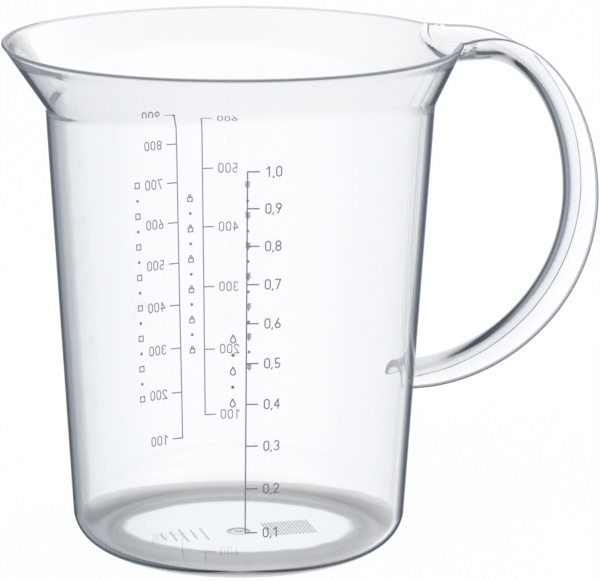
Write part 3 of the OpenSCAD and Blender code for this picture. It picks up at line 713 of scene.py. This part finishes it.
def make_floor():
    """A white table top, a little below the foot ring, that keeps the jug's soft shadow. Through the plastic
    it shows the heel's shade, and light that has glanced off the plastic passes through it."""
    mesh = bpy.data.meshes.new("floor")
    corners = [(x * TABLE_HALF, y * TABLE_HALF, -TABLE_DROP) for x, y in ((-1, -1), (1, -1), (1, 1), (-1, 1))]
    mesh.from_pydata(corners, [], [(0, 1, 2, 3)])
    floor = bpy.data.objects.new("floor", mesh)
    bpy.context.scene.collection.objects.link(floor)
    made, tree = material("white_table")
    path = add(tree, "ShaderNodeLightPath")
    seen = add(tree, "ShaderNodeMath", [("operation", "MAXIMUM")],
               i0=path.outputs["Is Camera Ray"], i1=path.outputs["Is Glossy Ray"])
    seen = add(tree, "ShaderNodeMath", [("operation", "MAXIMUM")],
               i0=seen.outputs[0], i1=path.outputs["Is Transmission Ray"])
    share = add(tree, "ShaderNodeMath", [("operation", "MULTIPLY"), (1, TABLE_GLOW_SHARE)],
                i0=seen.outputs[0])
    where = add(tree, "ShaderNodeTexCoord").outputs["Object"]
    look = math.radians(LOOK_AZIMUTH)
    middle = AXIS_X + HEEL_SHADE_BEYOND * math.cos(look), HEEL_SHADE_BEYOND * math.sin(look)
    centred = add(tree, "ShaderNodeMapping", [
        ("vector_type", "TEXTURE"), ("Location", (middle[0] * MM, middle[1] * MM, 0)),
        ("Rotation", (0, 0, look)), ("Scale", (1, HEEL_SHADE_WIDEN, 1))], Vector=where)
    radius = add(tree, "ShaderNodeVectorMath", [("operation", "LENGTH")], i0=centred.outputs[0])
    ripple = add(tree, "ShaderNodeTexNoise", [
        ("Scale", 1 / SHADE_RIPPLE), ("Detail", 3.0), ("Roughness", 0.6)], Vector=where)
    wander = add(tree, "ShaderNodeMath", [("operation", "MULTIPLY_ADD"), (1, HEEL_SHADE_WANDER * MM)],
                 i0=ripple.outputs[0], i2=radius.outputs["Value"])
    middle_wander = HEEL_SHADE_WANDER / 2
    heel = add(tree, "ShaderNodeMapRange", [
        ("From Min", middle_wander * MM), ("From Max", (HEEL_SHADE_REACH + middle_wander) * MM)],
        Value=wander.outputs[0])
    shade = add(tree, "ShaderNodeValToRGB", i0=heel.outputs[0])
    ramp_stops(shade.color_ramp, [(reach / HEEL_SHADE_REACH, level) for reach, level in HEEL_SHADE],
               lambda level: (level, level, level, 1))
    through = add(tree, "ShaderNodeMix", [("data_type", "RGBA"), (6, WHITE)],
                  i0=path.outputs["Is Transmission Ray"], i7=shade.outputs[0])
    lit = add(tree, "ShaderNodeBsdfDiffuse", [("Color", linear(TABLE_COLOUR))])
    glow = add(tree, "ShaderNodeEmission", [("Strength", 1.0)], Color=through.outputs[2])
    mix = add(tree, "ShaderNodeMixShader", i0=share.outputs[0], i1=lit.outputs[0], i2=glow.outputs[0])
    clear = add(tree, "ShaderNodeBsdfTransparent")
    shown = add(tree, "ShaderNodeMixShader",
                i0=glanced_light(tree, path), i1=mix.outputs[0], i2=clear.outputs[0])
    add(tree, "ShaderNodeOutputMaterial", Surface=shown.outputs[0])
    mesh.materials.append(made)


def make_world():
    """White to the camera and low down beyond the jug, greyer overhead. Light that has glanced off a wall
    sees the ring of panels, which draws the jug's edges."""
    world = bpy.data.worlds.new("studio")
    bpy.context.scene.world = world
    world.use_nodes = True
    tree = world.node_tree
    tree.nodes.clear()
    path = add(tree, "ShaderNodeLightPath")
    way = add(tree, "ShaderNodeTexCoord").outputs["Generated"]
    split = add(tree, "ShaderNodeSeparateXYZ", i0=way)
    height = add(tree, "ShaderNodeValToRGB", i0=split.outputs["Z"])
    ramp = height.color_ramp
    ramp.elements[0].position, ramp.elements[0].color = SKY_WHITE_TO, WHITE
    ramp.elements[1].position, ramp.elements[1].color = SKY_GREY_FROM, SKY_GREY
    seen = add(tree, "ShaderNodeMix", [("data_type", "RGBA")],
               i0=glanced_light(tree, path), i6=height.outputs[0], i7=panel_ring(tree, way))
    sky = add(tree, "ShaderNodeMix", [("data_type", "RGBA"), (7, WHITE)],
              i0=path.outputs["Is Camera Ray"], i6=seen.outputs[2])
    back = add(tree, "ShaderNodeBackground", [("Strength", 1.0)], Color=sky.outputs[2])
    add(tree, "ShaderNodeOutputWorld", Surface=back.outputs[0])


# Where the lamps point, near the middle of the jug, in metres
LAMP_TARGET = (0, 0, 0.08)


def lamp(name, size, energy, place):
    """A square soft box aimed at the jug. size and place are in metres, energy in watts."""
    light = bpy.data.lights.new(name, "AREA")
    light.size, light.energy = size, energy
    box = bpy.data.objects.new(name, light)
    box.visible_glossy = box.visible_transmission = False
    bpy.context.scene.collection.objects.link(box)
    z = np.array(place, float) - LAMP_TARGET
    z /= np.linalg.norm(z)
    x = np.cross((0, 0, 1), z)
    x /= np.linalg.norm(x)
    for i, row in enumerate(np.stack([x, np.cross(z, x), z], -1)):
        box.matrix_world[i][:3] = row
        box.matrix_world[i][3] = place[i]


make_floor()
make_world()
lamp("key_soft_box", 0.9, 11, (-0.7, -0.5, 1.3))
lamp("fill_soft_box", 1.2, 9, (0.9, 0.6, 1.1))
bpy.context.scene.view_settings.view_transform = "Standard"
